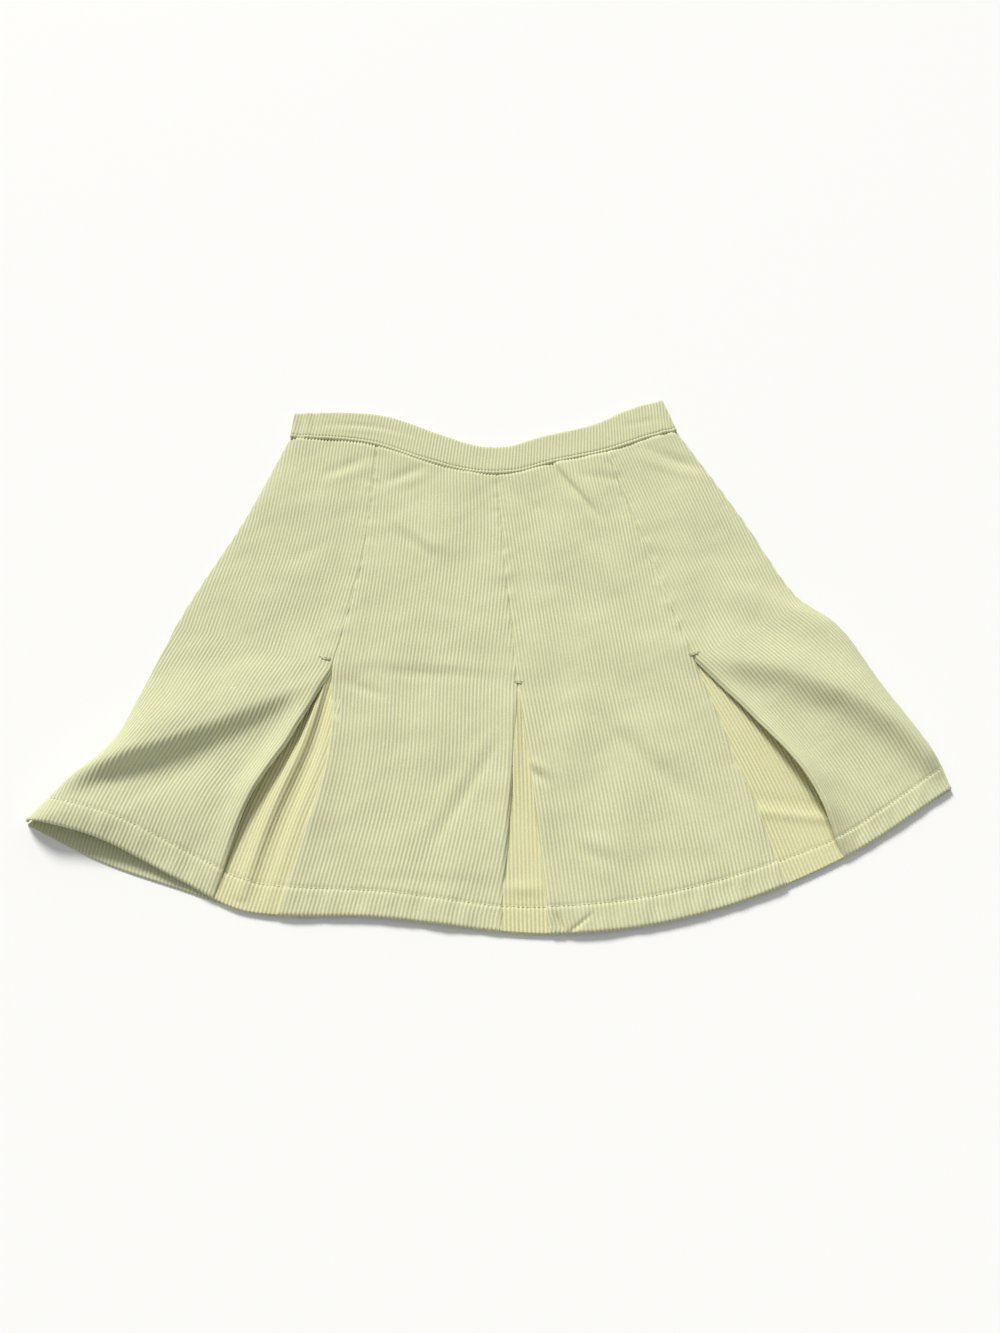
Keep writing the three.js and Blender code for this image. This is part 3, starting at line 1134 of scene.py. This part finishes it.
@dataclass(kw_only=True)
class Waistband(ClothPiece):
    """One strip of the waistband, folded over its elastic.

    Args:
        height: of its middle surface.
        outward: which way its good side looks.
        top_roll: the width and depth of the rounded fold at its top.
        under_roll: the same where the strip lies underneath.
        wave: the height of the soft waves along it.
        gathers: the heights of the gathers at its ends, coarse and fine.
    """

    height: float
    outward: Side
    cut: tuple[float, float] = (0.40, 0.08)
    area: float = 0.0135
    slot: str = "corduroy_band"
    top_roll: tuple[float, float] = (2.5, 1.1)
    under_roll: tuple[float, float] = (3.0, 0.5)
    wave: float = 0.35
    gathers: tuple[float, float] = (0.55, 0.25)

    def surface(self, u: Array, level: Array) -> Array:
        """The strip's middle surface, from its top fold at level 0 to the waist seam at 1."""
        left, right = WAIST_X[0], WAIST_X[-1]
        x = left + (right - left) * u
        inside = np.clip(x, left + 1, right - 1)
        slope = (WAIST(inside + 1) - WAIST(inside - 1)) / 2
        tall = BAND_HEIGHT(x)
        up = SEAM + (1 - level) * tall
        stretch = np.sqrt(1 + slope * slope)
        z = self.height + self._relief(x, up, tall)
        return np.stack([x - slope / stretch * up, WAIST(x) + up / stretch, z], -1)

    def _relief(self, x: Array, up: Array, tall: Array) -> Array:
        """The height of the rolled top, the seam's ridge, the gathers and the creases.

        Args:
            x: places along the band.
            up: how far they are above the waist seam.
            tall: how tall the band is there.

        Returns:
            The height of the relief.
        """
        down_from_top = tall + SEAM - up
        if self.outward is Side.DOWN:
            width, depth = self.under_roll
            return depth * np.clip(1 - down_from_top / width, 0, 1) ** 2
        width, depth = self.top_roll
        top = -depth * np.clip(1 - down_from_top / width, 0, 1) ** 2
        edge = 0.7 * bell((up - 1.6) / 1.0) - 0.7 * bell((up - 3.6) / 0.9)
        low = -0.8 * np.clip(1 - up / 0.9, 0, 1)
        at_ends = bell((x - WAIST_X[0]) / 26) + bell((x - WAIST_X[-1]) / 30)
        coarse, fine = self.gathers
        gathers = at_ends * (coarse * np.sin(x / 2.6 + up / 14) + fine * np.sin(x / 1.7))
        wave = self.wave * np.sin(x / 19 + 2 * np.sin(x / 41)) * np.sin(up / tall * math.pi)
        rising = (x + 150) / 12
        creases = -0.9 * bell((up - 17 - rising) / 2.6) * bell((x + 130) / 32)
        creases = creases + 0.7 * bell((up - 12 - rising) / 3.0) * bell((x + 128) / 30)
        creases = creases - 0.8 * bell((up - 20 + (x - 130) / 6) / 2.4) * bell((x - 138) / 16)
        return top + edge + low + gathers + wave + creases

    def shell(self) -> ClothShell:
        """The strip's cloth, with close rows at its top fold and its seam."""
        top_rows = np.linspace(0, 0.12, 5)
        middle_rows = np.linspace(0.12, 0.82, 10)[1:]
        seam_rows = np.linspace(0.82, 1, 10)[1:]
        return ClothShell(
            self.node + "_cloth",
            self.surface,
            np.concatenate([top_rows, middle_rows, seam_rows]),
            thickness=BAND_CLOTH,
            side=self.outward,
            seed=self.seed,
        )


@dataclass
class Table:
    """A plain pale surface beneath the skirt.

    Args:
        size: of its sides, in metres.
        clearance: how far it lies below the skirt, so that the two surfaces don't mix.
        colour: of its paint.
    """

    size: float = 8.0
    clearance: float = 0.1
    colour: str = "#F8F8F7"

    def build(self) -> bpy.types.Object:
        """Builds the surface."""
        half = self.size / 2
        mesh = bpy.data.meshes.new("table")
        corners = [(-half, -half, 0), (half, -half, 0), (half, half, 0), (-half, half, 0)]
        mesh.from_pydata(corners, [], [(0, 1, 2, 3)])
        table = bpy.data.objects.new("table", mesh)
        table.location.z = -self.clearance * MM
        bpy.context.scene.collection.objects.link(table)
        paint, _, shader = new_material("white_matt_paint")
        shader.inputs["Base Color"].default_value = to_linear(self.colour)
        shader.inputs["Roughness"].default_value = 0.9
        mesh.materials.append(paint)
        return table


@dataclass(frozen=True)
class Studio:
    """The camera and the soft lights.

    Args:
        elevation: of the camera above the table.
        distance: of the camera from the pattern's origin.
        lens: the camera's focal length.
        window_strength: of the key light.
        window_spread: how wide the key light is, which softens its shadows.
        window_tint: the key light's linear colour.
        window_points: the way that the key light runs.
        room_strength: of the light from all around.
        room_tint: its linear colour.
    """

    elevation: float = math.radians(64)
    distance: float = 821.7
    lens: float = 27.0
    window_strength: float = 3.3
    window_spread: float = math.radians(16)
    window_tint: tuple[float, float, float] = (1.0, 0.985, 0.95)
    window_points: tuple[float, float, float] = (0.42, -1.0, -0.8)
    room_strength: float = 0.42
    room_tint: tuple[float, float, float, float] = (0.97, 0.98, 1.0, 1.0)

    def build(self) -> None:
        """Builds the camera, the key light from the waist side and the pale surroundings."""
        scene = bpy.context.scene
        aim = Vector(to_frame(np.zeros(3)))
        back_off = Vector((0, -math.cos(self.elevation), math.sin(self.elevation)))
        camera = bpy.data.objects.new("camera", bpy.data.cameras.new("camera"))
        camera.data.lens = self.lens
        camera.data.clip_start = 0.01
        camera.location = aim + back_off * self.distance * MM
        camera.rotation_euler = (-back_off).to_track_quat("-Z", "Y").to_euler()
        scene.collection.objects.link(camera)
        scene.camera = camera
        light = bpy.data.lights.new("window", "SUN")
        light.energy = self.window_strength
        light.angle = self.window_spread
        light.color = self.window_tint
        window = bpy.data.objects.new("window", light)
        window.rotation_euler = Vector(self.window_points).to_track_quat("-Z", "Y").to_euler()
        scene.collection.objects.link(window)
        world = bpy.data.worlds.new("pale_room")
        world.use_nodes = True
        background = world.node_tree.nodes["Background"]
        background.inputs["Color"].default_value = self.room_tint
        background.inputs["Strength"].default_value = self.room_strength
        scene.world = world
        scene.view_settings.view_transform = "Standard"


SEAM_SPREAD = -0.03  # pressed seams all but close
UNDERLAY_SPREAD = 12.0  # how far an underlay runs on behind both lips


def make_gores() -> list[Gore]:
    """The front's gores, from left to right."""
    return [
        Gore(
            node="front_side_left", patch=Patch(SIDE_LEFT, LEFT_OUTER, SEAM_SPREAD),
            lift_right=9, grain_at=0.9, cut=(0.23, 0.47), area=0.062, seed=11,
        ),
        Gore(
            node="front_centre_left", patch=Patch(LEFT_INNER, CENTRE_OUTER, SEAM_SPREAD),
            lift_left=3, lift_right=2, grain_at=0.3, cut=(0.19, 0.47), area=0.064, seed=12,
        ),
        Gore(
            node="front_centre_right", patch=Patch(CENTRE_INNER, RIGHT_OUTER, SEAM_SPREAD),
            lift_left=2, grain_at=0.15, cut=(0.2, 0.47), area=0.066, seed=13,
        ),
        Gore(
            node="front_side_right", patch=Patch(RIGHT_INNER, SIDE_RIGHT, SEAM_SPREAD),
            lift_left=12, grain_at=0.1, cut=(0.2, 0.45), area=0.052, seed=14,
        ),
    ]


def make_underlays() -> list[Underlay]:
    """The cloth behind the pleats, from left to right."""
    return [
        Underlay(
            node="pleat_underlay_left", patch=Patch(LEFT_OUTER, LEFT_INNER, UNDERLAY_SPREAD),
            relief=left_pleat_relief, cut=(0.12, 0.24), area=0.0155, seed=21,
        ),
        Underlay(
            node="pleat_underlay_centre", patch=Patch(CENTRE_OUTER, CENTRE_INNER, UNDERLAY_SPREAD),
            relief=centre_pleat_relief, cut=(0.1, 0.24), area=0.0115, seed=22,
        ),
        Underlay(
            node="pleat_underlay_right", patch=Patch(RIGHT_OUTER, RIGHT_INNER, UNDERLAY_SPREAD),
            relief=right_pleat_relief, grain_at=0.3, cut=(0.12, 0.24), area=0.0145, seed=23,
        ),
    ]


def make_waistband() -> list[Waistband]:
    """The band's back strip and the front strip that lies on it."""
    back = Waistband(
        node="waistband_back", height=BACK_BAND_Z, outward=Side.DOWN, rests_on="table", seed=31
    )
    front = Waistband(
        node="waistband_front",
        height=FRONT_BAND_Z,
        outward=Side.UP,
        rests_on="waistband_back_cloth",
        seed=32,
    )
    return [back, front]


# Where the first row of each pleat's tack starts and ends.
TACKS = (((-148, 6), (-138, 4)), ((11, -15), (19, -16)), ((154, 8), (164, 10)))
TACK_ROWS = 3
TACK_ROW_STEP = 0.8
TACK_THREAD = 0.42
TACK_RISE = 0.1  # how far the tacks' thread stands off the cloth
TACK_INSET_START = 0.6  # how much further in each row starts than the one above
TACK_INSET_END = 0.5


def make_tacks() -> Stitches:
    """The tacks that hold the tops of the pleats, three short beads each."""
    tacks = Stitches("bar_tacks")
    top = FRONT_Z + CLOTH / 2 + TACK_RISE
    for start, end in TACKS:
        ends = np.array([start, end], float)
        heights = top + front_folds(ends[:, 0], ends[:, 1])
        for row in range(TACK_ROWS):
            y_start, y_end = start[1] - TACK_ROW_STEP * row, end[1] - TACK_ROW_STEP * row
            first = np.array([start[0] + TACK_INSET_START * row, y_start, heights[0]])
            last = np.array([end[0] - TACK_INSET_END * row, y_end, heights[1]])
            tacks.bead(first, last, np.array(UP), TACK_THREAD)
    return tacks


def main() -> None:
    """Builds the skirt, the table, the lights and the camera."""
    Studio().build()
    Table().build()
    face, inside = FACE.make(), FACE_INSIDE_PLEAT_PAINTED_LIGHT.make()
    wrong, thread = WRONG_SIDE.make(), THREAD.make()
    pieces = [BackPanel().build(face, wrong)]
    hem_stitches = Stitches("hem_stitches")
    for underlay in make_underlays():
        pieces.append(underlay.build(inside, wrong))
        stitch_hem(hem_stitches, underlay.surface, margin=0.16, count=60)
    for gore in make_gores():
        pieces.append(gore.build(face, wrong))
        stitch_hem(hem_stitches, gore.surface, margin=0.012, count=240)
    for strip in make_waistband():
        pieces.append(strip.build(face, wrong))
    pieces.append(hem_stitches.build(thread))
    pieces.append(make_tacks().build(thread))
    for piece in pieces:
        LOG.info("%s: %d faces", piece.name, len(piece.data.polygons))


if __name__ == "__main__":
    logging.basicConfig(level=logging.INFO)
    main()
